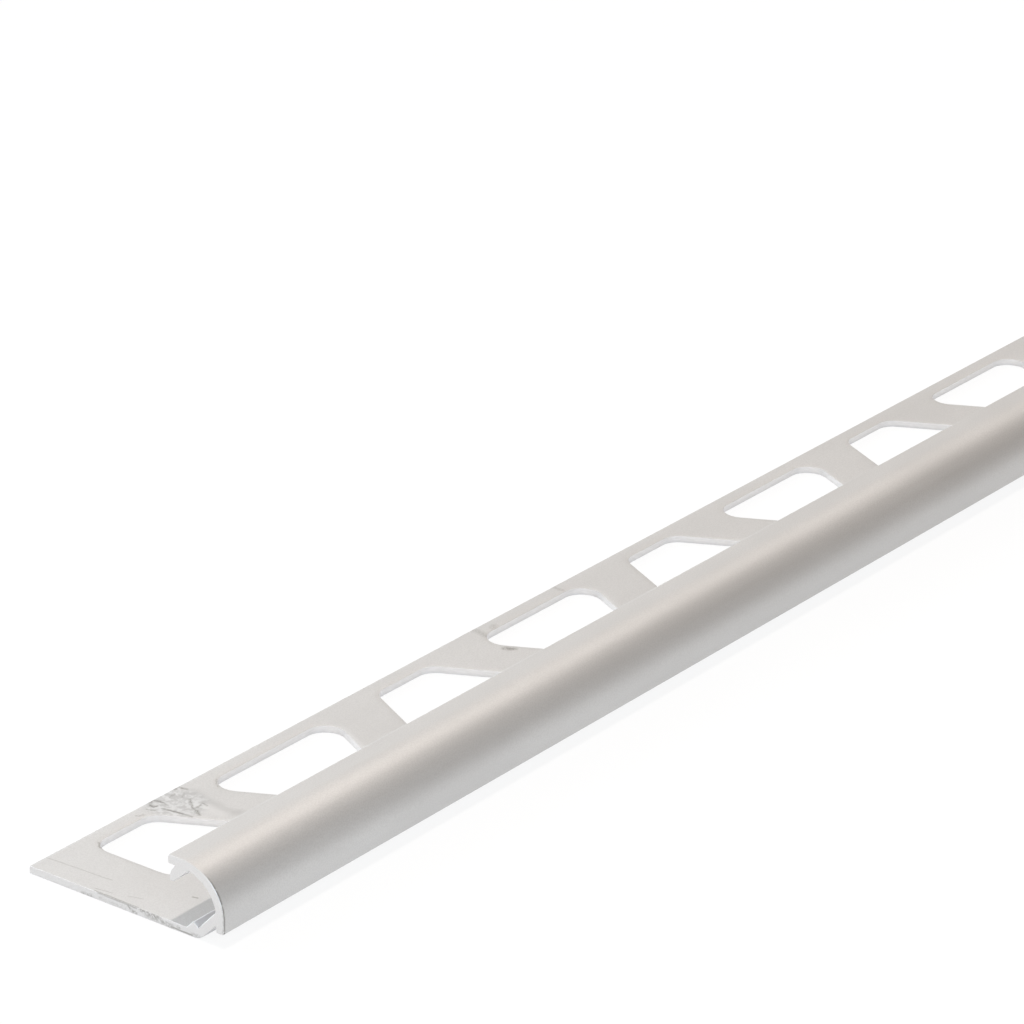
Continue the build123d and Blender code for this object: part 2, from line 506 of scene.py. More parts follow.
# %% Add the cells and the two sawn faces
row_finish = np.full((cells.shape[1] - 1, 1), SATIN)
row_finish[CUT_FACES] = PUNCHED
for cell in row_frame(*np.moveaxis(cells, -1, 0)):
    add_grid(cell, row_finish, wraps=True)

for station, order in ((0.0, -1), (LENGTH, 1)):
    caps.append((next_number() + np.arange(len(section)))[::order])
    points.append(row_frame(station, *sawn_outline.T))
print(f"{sum(len(block) for block in quads)} four-sided faces and {len(caps)} sawn faces")

# %% Join equal points
STEPS_PER_MM = 1e4

everything = np.concatenate(points)
on_steps = (everything * STEPS_PER_MM).round().astype(np.int64)
_, kept, joined = np.unique(on_steps, axis=0, return_index=True, return_inverse=True)
new_number = joined.ravel()
vertices = everything[kept] * MM
four_sided = new_number[np.concatenate(quads)]
many_sided = [new_number[cap] for cap in caps]
corners = np.concatenate([four_sided.ravel(), *many_sided])
totals = np.concatenate([np.full(len(four_sided), 4), [len(cap) for cap in caps]])
finishes = np.concatenate([*quad_finish, np.full(len(caps), SAWN)])
print(f"{len(everything)} points became {len(vertices)}")

# %% Test that the skin is closed
following = [np.roll(four_sided, -1, axis=1).ravel(), *(np.roll(cap, -1) for cap in many_sided)]
edges = np.stack([corners, np.concatenate(following)], axis=1)
forward, uses = np.unique(edges, axis=0, return_counts=True)
backward = np.unique(edges[:, ::-1], axis=0)
closed = len(forward) == len(backward) and (forward == backward).all() and (uses == 1).all()
print(f"{len(forward) // 2} edges, closed: {bool(closed)}")

# %% Make the mesh and let it stand for the solid
SHARP_ANGLE = math.radians(32)


def add_object(name, data):
    """An object in the scene that holds the given mesh, lamp or camera."""
    made = bpy.data.objects.new(name, data)
    bpy.context.scene.collection.objects.link(made)
    return made


def skin(name, places, face_corners, sizes, slots):
    """A mesh object from arrays.

    They hold the places of its points, the corners of all faces in a row, how many corners each
    face has, and the slot of its material. Edges that bend more than SHARP_ANGLE stay sharp.
    """
    mesh = bpy.data.meshes.new(name)
    mesh.vertices.add(len(places))
    mesh.vertices.foreach_set("co", places.astype(np.float32).ravel())
    mesh.loops.add(len(face_corners))
    mesh.loops.foreach_set("vertex_index", face_corners.astype(np.int32))
    mesh.polygons.add(len(sizes))
    starts = np.concatenate([[0], np.cumsum(sizes)[:-1]])
    mesh.polygons.foreach_set("loop_start", starts.astype(np.int32))
    mesh.polygons.foreach_set("material_index", slots.astype(np.int32))
    mesh.polygons.foreach_set("use_smooth", np.ones(len(sizes), bool))
    mesh.update(calc_edges=True)
    mesh.validate()
    mesh.set_sharp_from_angle(angle=SHARP_ANGLE)
    return add_object(name, mesh)


trim = skin("trim_bar", vertices, corners, totals, finishes)
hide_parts("edge_trim")
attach(trim, "root")
print(f"{(totals - 2).sum()} triangles")

# %% [markdown]
# ## How a material is wired
# All the patterns read Object coordinates, so they stay on the metal from every side. A few short
# functions keep the wiring readable: one adds a node and gives it its values, one makes a patch of
# noise, and one turns any value into a mask that fades softly between two limits. A finish is then
# a list of layers, each laid over the ones before it.

# %% Functions for nodes
def plug(tree, socket, value):
    """Give a socket its value: another socket is linked, None is left, and the rest is set."""
    if isinstance(value, bpy.types.NodeSocket):
        tree.links.new(value, socket)
    elif value is not None:
        socket.default_value = value


def node(tree, kind, inputs=(), **settings):
    """One node with its settings, and the values of its inputs in order."""
    made = tree.nodes.new(kind)
    for key, value in settings.items():
        setattr(made, key, value)
    for socket, value in zip(made.inputs, inputs):
        plug(tree, socket, value)
    return made


def maths(tree, operation, *values):
    """One sum with numbers: the named operation on the values in order."""
    return node(tree, "ShaderNodeMath", values, operation=operation).outputs[0]


def vector_maths(tree, operation, *values, output="Vector"):
    """One sum with vectors: the named operation on the values in order."""
    return node(tree, "ShaderNodeVectorMath", values, operation=operation).outputs[output]


def clamped(tree, value):
    """The value kept in 0 to 1."""
    return node(tree, "ShaderNodeClamp", (value,)).outputs[0]


def scaled(tree, vector, factor):
    """The vector times one number."""
    made = node(tree, "ShaderNodeVectorMath", (vector,), operation="SCALE")
    plug(tree, made.inputs["Scale"], factor)
    return made.outputs[0]


def split(tree, vector):
    """The X, Y and Z of a vector, by these names."""
    return node(tree, "ShaderNodeSeparateXYZ", (vector,)).outputs


# %% Functions for patterns
def fade(tree, value, start, end):
    """0 where the value is at start, 1 where it is at end, and a smooth S in between."""
    limits = (value, start, end, 0.0, 1.0)
    made = node(tree, "ShaderNodeMapRange", limits, interpolation_type="SMOOTHSTEP")
    return made.outputs["Result"]


def noise(tree, place, size_mm, detail=2.0, stretch=(1.0, 1.0, 1.0), output="Fac"):
    """Noise whose lumps are about size_mm millimetres, made longer along an axis by its stretch."""
    scale = [1 / (size_mm * MM * factor) for factor in stretch]
    lumps = vector_maths(tree, "MULTIPLY", place, scale)
    return node(tree, "ShaderNodeTexNoise", (lumps, None, 1.0, detail)).outputs[output]


def shaken(tree, place, size_mm, reach_mm):
    """The place moved by noise: up to half of reach_mm each way, in lumps of size_mm."""
    middle = (0.5, 0.5, 0.5)
    colour = noise(tree, place, size_mm, output="Color")
    shake = scaled(tree, vector_maths(tree, "SUBTRACT", colour, middle), reach_mm * MM)
    return vector_maths(tree, "ADD", place, shake)


def uneven(tree, pattern, spread, least):
    """A value that rises from its least by the spread times the pattern."""
    return maths(tree, "MULTIPLY_ADD", pattern, spread, least)


# %% Functions for colour and relief
def times(colour, factor):
    """The colour made darker or paler: each of its values times the factor."""
    return tuple(value * factor for value in colour)


def tint(tree, share, plain, marked):
    """A colour between two, by a share from 0 to 1."""
    made = node(tree, "ShaderNodeMix", data_type="RGBA")
    plug(tree, made.inputs["Factor"], share)
    for socket, colour in ((made.inputs["A"], plain), (made.inputs["B"], marked)):
        wired = isinstance(colour, bpy.types.NodeSocket)
        plug(tree, socket, colour if wired else (*colour, 1.0))
    return made.outputs["Result"]


def layered(tree, tone, layers):
    """The tone with layers laid over it. Each layer is a mask, the most it covers, and a colour."""
    for mask, most, colour in layers:
        tone = tint(tree, maths(tree, "MULTIPLY", mask, most), tone, colour)
    return tone


def relief(tree, shader, height, depth_mm, under=None):
    """A bump of the given depth, on top of another one if there is one. The shader takes it."""
    made = node(tree, "ShaderNodeBump")
    made.inputs["Strength"].default_value = 1.0
    made.inputs["Distance"].default_value = depth_mm * MM
    plug(tree, made.inputs["Height"], height)
    plug(tree, made.inputs["Normal"], under)
    plug(tree, shader.inputs["Normal"], made.outputs["Normal"])
    return made.outputs["Normal"]


# %% Functions for a material of bare metal
def material(name):
    """A material with a Principled shader alone: itself, its tree, its shader and its places."""
    made = bpy.data.materials.new(name)
    made.use_nodes = True
    tree = made.node_tree
    place = node(tree, "ShaderNodeTexCoord").outputs["Object"]
    return made, tree, tree.nodes["Principled BSDF"], place


def bare_metal(tree, shader, tone, roughness):
    """Wire the shader's colour and roughness. Bare metal is metallic all over, so that is set."""
    plug(tree, shader.inputs["Base Color"], tone)
    plug(tree, shader.inputs["Roughness"], roughness)
    shader.inputs["Metallic"].default_value = 1.0


# %% [markdown]
# ## Strokes: scratches and dirt that have a place
# The bar in the photograph isn't spotless: there is a scuffed patch on the first strip between the
# holes, and some dirt on the sawn face. Noise alone would put marks anywhere, so each mark is a
# stroke from one point to another. A stroke's mask is 1 near the line between its points and fades
# with distance. The place that it is measured from is shaken by a little noise first, which makes
# the line ragged like a real scratch.
# Some strokes are painted shade and highlight: a dent on the leg, and thin lines on the sawn edges.

# %% A node group for one stroke
def stroke_group():
    """Distance from a point p to the line from a to b, and the mask that it gives.

    With t = (p - a).(b - a) / |b - a|^2 kept in 0 to 1, the distance is |p - a - t (b - a)|. The
    mask is 1 on the line and 0 at the given width.
    """
    tree = bpy.data.node_groups.new("stroke", "ShaderNodeTree")
    for label in ("Place", "From", "To"):
        tree.interface.new_socket(label, in_out="INPUT", socket_type="NodeSocketVector")
    tree.interface.new_socket("Width", in_out="INPUT", socket_type="NodeSocketFloat")
    tree.interface.new_socket("Mask", in_out="OUTPUT", socket_type="NodeSocketFloat")
    given = tree.nodes.new("NodeGroupInput").outputs
    whole = vector_maths(tree, "SUBTRACT", given["To"], given["From"])
    gone = vector_maths(tree, "SUBTRACT", given["Place"], given["From"])
    dot = vector_maths(tree, "DOT_PRODUCT", gone, whole, output="Value")
    square = vector_maths(tree, "DOT_PRODUCT", whole, whole, output="Value")
    nearest = scaled(tree, whole, clamped(tree, maths(tree, "DIVIDE", dot, square)))
    aside = vector_maths(tree, "SUBTRACT", gone, nearest)
    distance = vector_maths(tree, "LENGTH", aside, output="Value")
    faded = clamped(tree, maths(tree, "DIVIDE", distance, given["Width"]))
    mask = maths(tree, "SUBTRACT", 1.0, faded)
    tree.links.new(mask, tree.nodes.new("NodeGroupOutput").inputs[0])
    return tree


STROKE = stroke_group()
print(f"a stroke is a group of {len(STROKE.nodes)} nodes")


# %% Places for strokes
def from_near_end(distance):
    """The X, in metres, of a place this many millimetres from the near end."""
    return (distance - LENGTH / 2) * MM


def from_wall(distance):
    """The Y, in metres, of a place this many millimetres from the round wall's outer face."""
    return (distance - WIDTH / 2) * MM


def on_leg(along_bar, from_edge):
    """A place on top of the leg: millimetres from the near end and from the leg's free edge."""
    return from_near_end(along_bar), (WIDTH / 2 - from_edge) * MM, LEG_THICKNESS * MM


def on_end(from_edge, up):
    """A place on the near sawn face: millimetres from the leg's free edge and its underside."""
    return from_near_end(0.0), (WIDTH / 2 - from_edge) * MM, up * MM


def strokes(tree, place, on_face, marks):
    """The strongest of several strokes.

    Each mark is a width in millimetres, a strength, and the points that it joins. The points are
    numbers that on_face turns into places.
    """
    strongest = None
    for width, strength, path in marks:
        stops = [on_face(*point) for point in path]
        for start, end in zip(stops, stops[1:]):
            made = node(tree, "ShaderNodeGroup", (place, start, end, width * MM), node_tree=STROKE)
            mask = maths(tree, "MULTIPLY", made.outputs["Mask"], strength)
            strongest = mask if strongest is None else maths(tree, "MAXIMUM", strongest, mask)
    return strongest


# %% [markdown]
# ## The satin skin
# The bar was drawn through a die and then given a fine matt finish. Close up, such a skin has a
# grain of tiny pits, faint lines along the bar from the die, and very slight clouds in its tone.
# The pits and lines are relief and roughness, because that is how they catch the light. Inside the
# round the tone is made paler: this is painted light, so that the shaded channel looks lit. A pale
# line along the edge of the rib is a painted highlight. Each scuff is a stroke in a darker tone,
# and one rubbed patch lies on the first strip between the holes, beside the painted shade and
# painted highlight of a dent.

# %% Fine marks and scuffs on the leg
SHAKE_SIZE = 0.5

# Each mark is a width in millimetres, a strength, and the points that it joins, as on_leg has them.
FINE_MARKS = [
    (0.26, 0.6, [(22.5, 2.5), (22.75, 3.9), (23.0, 5.5), (23.15, 6.9)]),
    (0.30, 0.9, [(22.65, 3.3), (22.75, 3.9), (23.0, 5.5)]),
    (0.16, 0.35, [(3.0, 0.1), (3.15, 2.3), (3.3, 5.4), (3.45, 9.4), (3.6, 10.4)]),
    (0.14, 0.4, [(0.65, 10.2), (1.0, 12.7)]),
    (0.14, 0.3, [(1.6, 14.7), (2.2, 16.6)]),
    # This mark is painted shade: a thin dark line along the leg's sawn edge.
    (0.16, 0.7, [(0.1, 10.6), (0.15, 13.2), (0.1, 17.6)]),
    (0.22, 0.8, [(6.45, 21.0), (6.6, 21.6)]),
]
SCUFFS = [
    (0.34, 0.9, [(22.7, 0.3), (23.6, 0.1), (23.8, 0.7), (23.8, 1.6)]),
    (0.30, 0.9, [(22.3, 0.7), (22.1, 1.3), (22.6, 1.5)]),
    (0.28, 0.6, [(21.1, 1.2), (21.5, 2.2)]),
    (0.28, 0.6, [(23.8, 1.6), (23.7, 2.4)]),
    (0.32, 0.6, [(25.6, 1.2), (26.7, 1.1)]),
    (0.40, 1.0, [(27.7, 0.1), (27.9, 0.2)]),
    (0.34, 0.8, [(28.5, 0.1), (28.6, 0.7), (28.7, 1.3)]),
    (0.28, 0.5, [(27.6, 1.8), (26.7, 2.4)]),
    (0.30, 0.8, [(26.8, 3.5), (25.8, 4.5), (25.0, 5.6), (24.7, 6.5), (24.1, 7.3)]),
    (0.26, 0.6, [(25.0, 5.6), (25.8, 5.8), (27.0, 5.5), (26.7, 6.4)]),
    (0.34, 0.4, [(19.6, 1.8), (18.9, 1.4)]),
    (0.26, 0.6, [(9.2, 4.4), (9.5, 3.2), (10.3, 2.55)]),
    (0.22, 0.4, [(33.3, 2.5), (32.4, 3.2), (31.9, 4.0)]),
    (0.80, 0.8, [(89.57, 7.2), (89.85, 7.7), (90.1, 8.1)]),
    (0.90, 0.35, [(91.6, 0.6), (91.6, 1.2), (91.2, 2.6)]),
    (0.80, 0.3, [(94.0, 1.8), (94.6, 1.5)]),
    (0.60, 0.3, [(110.4, 0.3), (110.4, 1.6)]),
]


def leg_marks(tree, place, ragged):
    """Fine marks on nearly straight lines, and scuffs on ragged lines, broken up by noise."""
    nearly_straight = shaken(tree, place, SHAKE_SIZE, reach_mm=0.2)
    fine = strokes(tree, nearly_straight, on_leg, FINE_MARKS)
    worn = fade(tree, noise(tree, place, size_mm=0.25), start=0.30, end=0.50)
    scuffs = maths(tree, "MULTIPLY", strokes(tree, ragged, on_leg, SCUFFS), worn)
    return maths(tree, "MAXIMUM", fine, scuffs)


print(f"{len(FINE_MARKS)} fine marks and {len(SCUFFS)} scuffs")

# %% The painted shade and highlight of a dent, and the rubbed patch on the first strip
# The dent is only painted: a darker stroke is its painted shade, a paler one its highlight.
DENT_SHADE_STROKE = (1.3, 1.0, [(28.7, 2.6), (27.9, 4.9), (27.7, 6.8), (27.2, 8.5), (27.3, 9.9), (27.9, 10.7)])
DENT_HIGHLIGHT_STROKE = (1.5, 1.0, [(26.1, 5.4), (26.5, 6.7), (26.3, 9.2)])
PATCH_MIDDLE = (24.6, 3.0)
PATCH_CORE = 3.2
PATCH_RIM = 5.0
RUBBED_DARK = (0.50, 0.505, 0.51)
RUBBED_PALE = (0.69, 0.70, 0.71)


def rubbed_patch(tree, ragged):
    """A round patch whose rim fades from PATCH_RIM to PATCH_CORE, and its mottled colour."""
    away = vector_maths(tree, "DISTANCE", ragged, on_leg(*PATCH_MIDDLE), output="Value")
    patch = fade(tree, away, start=PATCH_RIM * MM, end=PATCH_CORE * MM)
    lumps = fade(tree, noise(tree, ragged, size_mm=0.7, detail=4.0), start=0.36, end=0.62)
    return patch, tint(tree, lumps, RUBBED_DARK, RUBBED_PALE)


print(f"a rubbed patch {2 * PATCH_RIM:.0f} mm across")


# %% Where the skin differs: the near rim, painted light inside the round and a painted highlight on the rib's edge
def near_rim(tree, place):
    """A dark band just behind the near sawn edge, strongest towards the wall, broken up by noise.
    """
    axes = split(tree, place)
    at_end = fade(tree, axes["X"], start=from_near_end(0.42), end=from_near_end(0.18))
    at_wall = fade(tree, axes["Y"], start=from_wall(4.0), end=from_wall(0.5))
    broken = fade(tree, noise(tree, place, size_mm=0.6, detail=3.0), start=0.32, end=0.46)
    return maths(tree, "MULTIPLY", maths(tree, "MULTIPLY", at_end, at_wall), broken)


def from_line(tree, place, point):
    """The distance from a line along the bar that passes through one point of the section."""
    axes = split(tree, place)
    in_section = node(tree, "ShaderNodeCombineXYZ", (0.0, axes["Y"], axes["Z"])).outputs[0]
    line = (0.0, from_wall(point[0]), point[1] * MM)
    return vector_maths(tree, "DISTANCE", in_section, line, output="Value")


def painted_light_inside_round(tree, place):
    """Painted light: 1 from the round's inner face inwards, above the leg, and 0 in the rest."""
    away = from_line(tree, place, ROUND_CENTRE)
    within = fade(tree, away, start=(INNER_RADIUS + 0.3) * MM, end=(INNER_RADIUS + 0.1) * MM)
    height = split(tree, place)["Z"]
    above = fade(tree, height, start=(LEG_THICKNESS + 0.1) * MM, end=(LEG_THICKNESS + 0.4) * MM)
    return maths(tree, "MULTIPLY", within, above)


def painted_rib_highlight(tree, place):
    """A painted highlight: 1 on the edge of the rib, and 0 from a little way off."""
    return fade(tree, from_line(tree, place, rib_peak), start=0.22 * MM, end=0.08 * MM)


# %% Satin aluminium
ALUMINIUM = (0.65, 0.65, 0.65)
# Painted light: a paler tone inside the round, so that the shaded channel looks lit.
PAINTED_LIGHT_INSIDE_TONE = (0.77, 0.765, 0.77)
# A painted highlight along the edge of the rib.
RIB_HIGHLIGHT_TONE = (0.93, 0.93, 0.94)
# A dark tone for dirt and scuffs, and for painted shade along the sawn edges.
DIRT_AND_SHADE_TONE = (0.22, 0.215, 0.20)
CLOUD_DARK, CLOUD_PALE = times(ALUMINIUM, 0.975), times(ALUMINIUM, 1.02)
# A dent's painted shade is darker than the metal, and its painted highlight paler.
PIT_TONE, DENT_SHADE_TONE, DENT_HIGHLIGHT_TONE = (times(ALUMINIUM, factor) for factor in (0.86, 0.80, 1.08))


def satin_aluminium():
    """The skin of the bar: clouds and pits in its tone, its marks, and three reliefs."""
    made, tree, shader, place = material("satin_aluminium")
    grain = noise(tree, place, size_mm=0.20, detail=3.0)
    die_lines = noise(tree, place, size_mm=0.30, stretch=(120.0, 1.0, 1.0))
    clouds = noise(tree, place, size_mm=9.0, stretch=(2.5, 1.0, 1.0))
    peel = noise(tree, place, size_mm=0.55)
    ragged = shaken(tree, place, SHAKE_SIZE, reach_mm=0.6)
    patch, mottled = rubbed_patch(tree, ragged)
    tone = layered(tree, CLOUD_DARK, [
        (fade(tree, clouds, start=0.3, end=0.7), 1.0, CLOUD_PALE),
        (fade(tree, grain, start=0.62, end=0.36), 0.5, PIT_TONE),
        # Painted light: paler inside the round.
        (painted_light_inside_round(tree, place), 1.0, PAINTED_LIGHT_INSIDE_TONE),
        # A painted highlight on the rib's edge.
        (painted_rib_highlight(tree, place), 1.0, RIB_HIGHLIGHT_TONE),
        # The painted shade and painted highlight of a dent.
        (strokes(tree, ragged, on_leg, [DENT_SHADE_STROKE]), 0.8, DENT_SHADE_TONE),
        (strokes(tree, ragged, on_leg, [DENT_HIGHLIGHT_STROKE]), 0.6, DENT_HIGHLIGHT_TONE),
        (patch, 0.7, mottled),
        (near_rim(tree, place), 0.7, DIRT_AND_SHADE_TONE),
        (leg_marks(tree, place, ragged), 0.9, DIRT_AND_SHADE_TONE),
    ])
    roughness = uneven(tree, grain, spread=0.10, least=0.47)
    bare_metal(tree, shader, tone, uneven(tree, die_lines, spread=0.06, least=roughness))
    under = relief(tree, shader, die_lines, depth_mm=0.0015)
    under = relief(tree, shader, peel, depth_mm=0.011, under=under)
    relief(tree, shader, grain, depth_mm=0.006, under=under)
    return made


trim.data.materials.append(satin_aluminium())
print(f"satin skin of {len(trim.data.materials[SATIN].node_tree.nodes)} nodes")

# %% [markdown]
# ## The punched walls
# The wall of a punched hole was sheared, so it is smoother and brighter near the top and torn dull
# near the bottom, with faint layers along the sheet. The mesh gave these faces a finish of their
# own, so a plain height above the leg's underside is enough to tell the torn part.

# %% Punched walls
SHEARED = (0.77, 0.77, 0.78)
TORN_TONE, LAYER_TONE = times(SHEARED, 0.86), times(SHEARED, 0.8)
TORN_BELOW = 0.2
SMOOTH_ABOVE = 0.55


def punched_edge():
    """The sheared wall: torn below, smooth above, with fine layers that lie flat."""
    made, tree, shader, place = material("punched_edge")
    layers = noise(tree, place, size_mm=0.12, stretch=(9.0, 9.0, 1.0))
    height = split(tree, place)["Z"]
    torn = fade(tree, height, start=SMOOTH_ABOVE * MM, end=TORN_BELOW * MM)
    tone = layered(tree, SHEARED, [
        (torn, 0.4, TORN_TONE),
        (fade(tree, layers, start=0.6, end=0.4), 0.3, LAYER_TONE),
    ])
    bare_metal(tree, shader, tone, uneven(tree, torn, spread=0.08, least=0.38))
    relief(tree, shader, layers, depth_mm=0.004)
    return made


trim.data.materials.append(punched_edge())
print(f"{(finishes == PUNCHED).sum()} faces on the punched walls")

# %% [markdown]
# ## The sawn faces
# A saw leaves the bar's ends dull, with fine lines across the section and a little dirt pressed
# into the cut. The dirt is made of strokes, as on the leg, and noise breaks it up.
# Thin dark lines along the cut's edges are painted shade.

# %% Sawn faces
SAWN_METAL = (0.665, 0.665, 0.67)
CUT_DIRT = [
    (0.36, 0.6, [(8.6, 0.15), (10.3, 0.25)]),
    (0.30, 0.3, [(11.5, 0.40), (15.6, 0.35)]),
    (0.34, 0.9, [(16.1, 0.80), (16.6, 0.40), (17.4, 0.30)]),
    (0.40, 1.0, [(18.1, 0.98), (18.9, 0.85)]),
    (0.80, 0.9, [(19.2, 0.85), (20.8, 0.75)]),
    (0.46, 0.8, [(21.2, 0.45), (23.1, 0.30)]),
    (0.28, 0.8, [(24.0, 0.55), (24.2, 0.55)]),
    (0.45, 0.5, [(26.3, 0.35), (27.4, 0.30)]),
    (0.22, 0.5, [(30.3, 7.1), (31.0, 5.8), (31.2, 3.9), (31.2, 2.0)]),
]
# Painted shade: thin dark lines near the leg's upper and lower edges on the cut face.
EDGE_SHADE_LINES = [
    (0.22, 0.8, [(11.2, 1.05), (13.2, 1.02), (16.1, 1.0), (17.4, 0.95)]),
    (0.16, 1.0, [(23.1, 0.28), (24.7, 0.22), (26.3, 0.22)]),
]


def cut_dirt_and_edge_shade(tree, place):
    """Ragged dirt broken up by noise, and thin lines of painted shade along the cut's edges."""
    ragged = shaken(tree, place, SHAKE_SIZE, reach_mm=0.4)
    broken = fade(tree, noise(tree, place, size_mm=0.3, detail=3.0), start=0.34, end=0.56)
    dirt = maths(tree, "MULTIPLY", strokes(tree, ragged, on_end, CUT_DIRT), broken)
    nearly_straight = shaken(tree, place, SHAKE_SIZE, reach_mm=0.1)
    return maths(tree, "MAXIMUM", dirt, strokes(tree, nearly_straight, on_end, EDGE_SHADE_LINES))


def sawn_end():
    """Cut face: pits, dirt and painted edge shade in its tone, and the saw's lines as relief."""
    made, tree, shader, place = material("sawn_end")
    saw_lines = noise(tree, place, size_mm=0.08, stretch=(1.0, 1.0, 30.0))
    pits = fade(tree, noise(tree, place, size_mm=0.16, detail=3.0), start=0.6, end=0.35)
    tone = layered(tree, SAWN_METAL, [
        (pits, 0.35, times(SAWN_METAL, 0.85)),
        (cut_dirt_and_edge_shade(tree, place), 0.8, DIRT_AND_SHADE_TONE),
    ])
    bare_metal(tree, shader, tone, uneven(tree, saw_lines, spread=0.12, least=0.46))
    relief(tree, shader, saw_lines, depth_mm=0.006)
    return made


trim.data.materials.append(sawn_end())
print("finishes:", [finish.name for finish in trim.data.materials])

# %% [markdown]
# ## The floor
# A white floor takes the bar's shadow and lights the upright wall from below. More light would turn
# it plain white, but would wash out the metal too. Instead a share of plain white is mixed in,
# which camera rays see nearly in full and mirrored rays in part. The rest of the light doesn't see
# it, so the white background adds no light to the bar.

# %% The floor
WHITE = (1.0, 1.0, 1.0, 1.0)
PAPER = (0.82, 0.82, 0.82, 1.0)
FLOOR_REACH = 60.0
FLOOR_DROP = 0.02


def white_share(tree, to_camera, to_metal):
    """The share of plain white that a camera ray or a mirrored ray sees. The rest sees none."""
    ray = node(tree, "ShaderNodeLightPath").outputs
    mirrored = maths(tree, "MAXIMUM", ray["Is Glossy Ray"], ray["Is Transmission Ray"])
    seen = maths(tree, "MULTIPLY", ray["Is Camera Ray"], to_camera)
    return maths(tree, "MAXIMUM", seen, maths(tree, "MULTIPLY", mirrored, to_metal))


def white_paper():
    """A matt white surface with its share of plain white mixed in."""
    made = bpy.data.materials.new("white_paper")
    made.use_nodes = True
    tree = made.node_tree
    tree.nodes.remove(tree.nodes["Principled BSDF"])
    lit = node(tree, "ShaderNodeBsdfDiffuse", (PAPER,)).outputs[0]
    plain = node(tree, "ShaderNodeEmission", (WHITE, 1.0)).outputs[0]
    seen = white_share(tree, to_camera=0.88, to_metal=0.44)
    mixed = node(tree, "ShaderNodeMixShader", (seen, lit, plain)).outputs[0]
    plug(tree, tree.nodes["Material Output"].inputs["Surface"], mixed)
    return made


floor_corners = [(x * FLOOR_REACH, y * FLOOR_REACH, -FLOOR_DROP * MM)
                 for x, y in ((-1, -1), (1, -1), (1, 1), (-1, 1))]
floor_mesh = bpy.data.meshes.new("floor")
floor_mesh.from_pydata(floor_corners, [], [(0, 1, 2, 3)])
floor_mesh.materials.append(white_paper())
floor = add_object("floor", floor_mesh)
print(f"floor {2 * FLOOR_REACH:.0f} m wide, {FLOOR_DROP} mm below the bar")

# %% [markdown]
# ## The sky
# Metal shows what is round it, so the surroundings are part of its look. The sky is even and dim,
# with one bright soft panel low behind the leg's free edge. The flat leg shines in it, and a soft
# dark band lies along the round, where the metal mirrors neither the panel nor the floor. The sky
# has its share of plain white too, which camera rays see in full and mirrored rays a tenth of.

# %% The sky
AMBIENT = (0.37, 0.32, 0.275)
PANEL_COLOUR = (5.9, 6.4, 6.8)
PANEL_FOCUS = 8.0
BLACK = (0.0, 0.0, 0.0)


def panel(tree, direction, azimuth, elevation, colour):
    """One soft panel of sky.

    Its light is its colour times the cosine of the angle from its middle, raised to PANEL_FOCUS,
    and 0 behind it. The azimuth turns from the bar's length towards the leg's free edge.
    """
    turn, rise = math.radians(azimuth), math.radians(elevation)
    middle = (math.cos(rise) * math.cos(turn), math.cos(rise) * math.sin(turn), math.sin(rise))
    cosine = vector_maths(tree, "DOT_PRODUCT", direction, middle, output="Value")
    strength = maths(tree, "POWER", maths(tree, "MAXIMUM", cosine, 0.0), PANEL_FOCUS)
    return tint(tree, strength, BLACK, colour)


def studio_sky():
    """The even light plus the panel, with the sky's own share of plain white over them."""
    made = bpy.data.worlds.new("studio")
    made.use_nodes = True
    tree = made.node_tree
    direction = node(tree, "ShaderNodeTexCoord").outputs["Generated"]
    soft_panel = panel(tree, direction, azimuth=90, elevation=15, colour=PANEL_COLOUR)
    light = vector_maths(tree, "ADD", soft_panel, AMBIENT)
    seen = white_share(tree, to_camera=1.0, to_metal=0.1)
    plug(tree, tree.nodes["Background"].inputs["Color"], tint(tree, seen, light, WHITE[:3]))
    return made


bpy.context.scene.world = studio_sky()
print(f"sky of {len(bpy.context.scene.world.node_tree.nodes)} nodes")

# %% [markdown]
# ## The lamps
# Two key lamps stand over the bar's length, one overhead and one slanting. They are small in the
# sky, which gives the shade under the lip its crisp edge and the round its highlight. Two soft
# disks near the sawn end light that face and the wall beside it.

# %% The lamps
KEY_ANGLE = math.radians(2.0)
KEY_LEAN = 0.045
NEAR_END = Vector((low[0], 0, 0))


def aim(made, direction, axis):
    """Turn an object so that its given axis points in the direction."""
    made.rotation_mode = "QUATERNION"
    made.rotation_quaternion = direction.to_track_quat(axis, "Y")


def key_lamp(name, elevation, strength, colour):
    """A lamp small in the sky, over the bar's length. It leans to the free edge: y = KEY_LEAN z."""
    lamp = bpy.data.lights.new(name, "SUN")
    lamp.energy = strength
    lamp.angle = KEY_ANGLE
    lamp.color = colour
    rise = math.radians(elevation)
    towards = Vector((math.cos(rise), KEY_LEAN * math.sin(rise), math.sin(rise)))
    aim(add_object(name, lamp), towards, "Z")


def soft_disk(name, offset, diameter, watts, colour):
    """A round lamp at an offset from the near end of the bar, turned to face that end."""
    lamp = bpy.data.lights.new(name, "AREA")
    lamp.shape = "DISK"
    lamp.size = diameter
    lamp.energy = watts
    lamp.color = colour
    made = add_object(name, lamp)
    made.location = NEAR_END + Vector(offset)
    aim(made, NEAR_END - made.location, "-Z")


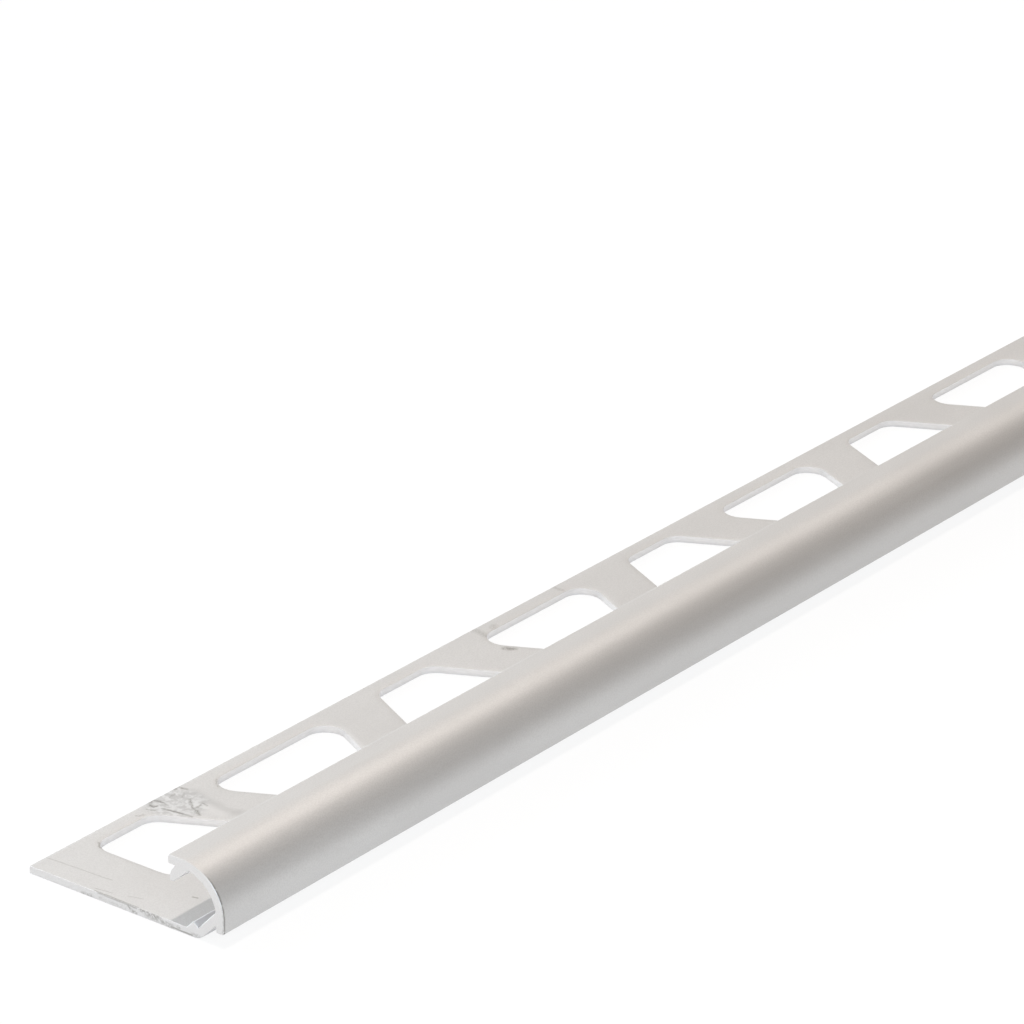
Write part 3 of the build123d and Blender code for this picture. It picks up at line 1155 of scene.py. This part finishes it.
key_lamp("overhead_lamp", elevation=90, strength=1.35, colour=(1.0, 0.91, 0.83))
key_lamp("slanting_lamp", elevation=60, strength=0.39, colour=(1.0, 0.94, 0.89))
soft_disk("end_lamp", (-0.35, 0.0, 0.12), diameter=0.25, watts=0.40, colour=(1.0, 0.93, 0.85))
soft_disk("side_lamp", (-0.25, -0.45, 0.30), diameter=0.5, watts=2.3, colour=(0.64, 0.83, 1.0))
print("lamps:", [lamp.name for lamp in bpy.data.lights])

# %% [markdown]
# ## The camera
# The camera stands low and close to one end and looks along the bar through a long lens. Its place
# was found from the edges in the photograph: the direction, a slight roll, and the distance at
# which the near end and the spacing of the holes come out at the right size.

# %% The camera's directions
AZIMUTH, ELEVATION, ROLL = (math.radians(angle) for angle in (-54.205, 23.147, 1.663))

flat = math.cos(ELEVATION)
behind = Vector((math.sin(AZIMUTH) * flat, -math.cos(AZIMUTH) * flat, math.sin(ELEVATION)))
level = Vector((math.cos(AZIMUTH), math.sin(AZIMUTH), 0.0))
upward = behind.cross(level)
right = level * math.cos(ROLL) + upward * math.sin(ROLL)
top = upward * math.cos(ROLL) - level * math.sin(ROLL)
print("the camera looks along", [round(-value, 3) for value in behind])

# %% The camera
FOCAL_PIXELS = 4865.0
FRAME_PIXELS = 1024
SENSOR_WIDTH = 36.0
NEAR_CORNER = Vector((low[0], high[1], 0.0))
CORNER_PIXEL = (29.370, 873.216)
CORNER_DEPTH = 604.003 * MM
CLIP_NEAR, CLIP_FAR = 0.01, 100.0

camera_data = bpy.data.cameras.new("camera")
camera_data.sensor_width = SENSOR_WIDTH
camera_data.lens = FOCAL_PIXELS / FRAME_PIXELS * SENSOR_WIDTH
camera_data.clip_start, camera_data.clip_end = CLIP_NEAR, CLIP_FAR
camera = add_object("camera", camera_data)
camera.matrix_world = Matrix(((*right, 0), (*top, 0), (*behind, 0), (0, 0, 0, 1))).transposed()

# The camera stands back from the corner, and then aside until the corner is at its own pixel.
aside, down = ((pixel - FRAME_PIXELS / 2) / FOCAL_PIXELS * CORNER_DEPTH for pixel in CORNER_PIXEL)
camera.location = NEAR_CORNER - right * aside + top * down + behind * CORNER_DEPTH
bpy.context.scene.camera = camera
bpy.context.scene.view_settings.view_transform = "Standard"
print("camera at", [round(value, 3) for value in camera.location])
print(f"with a lens of {camera_data.lens:.1f} mm")
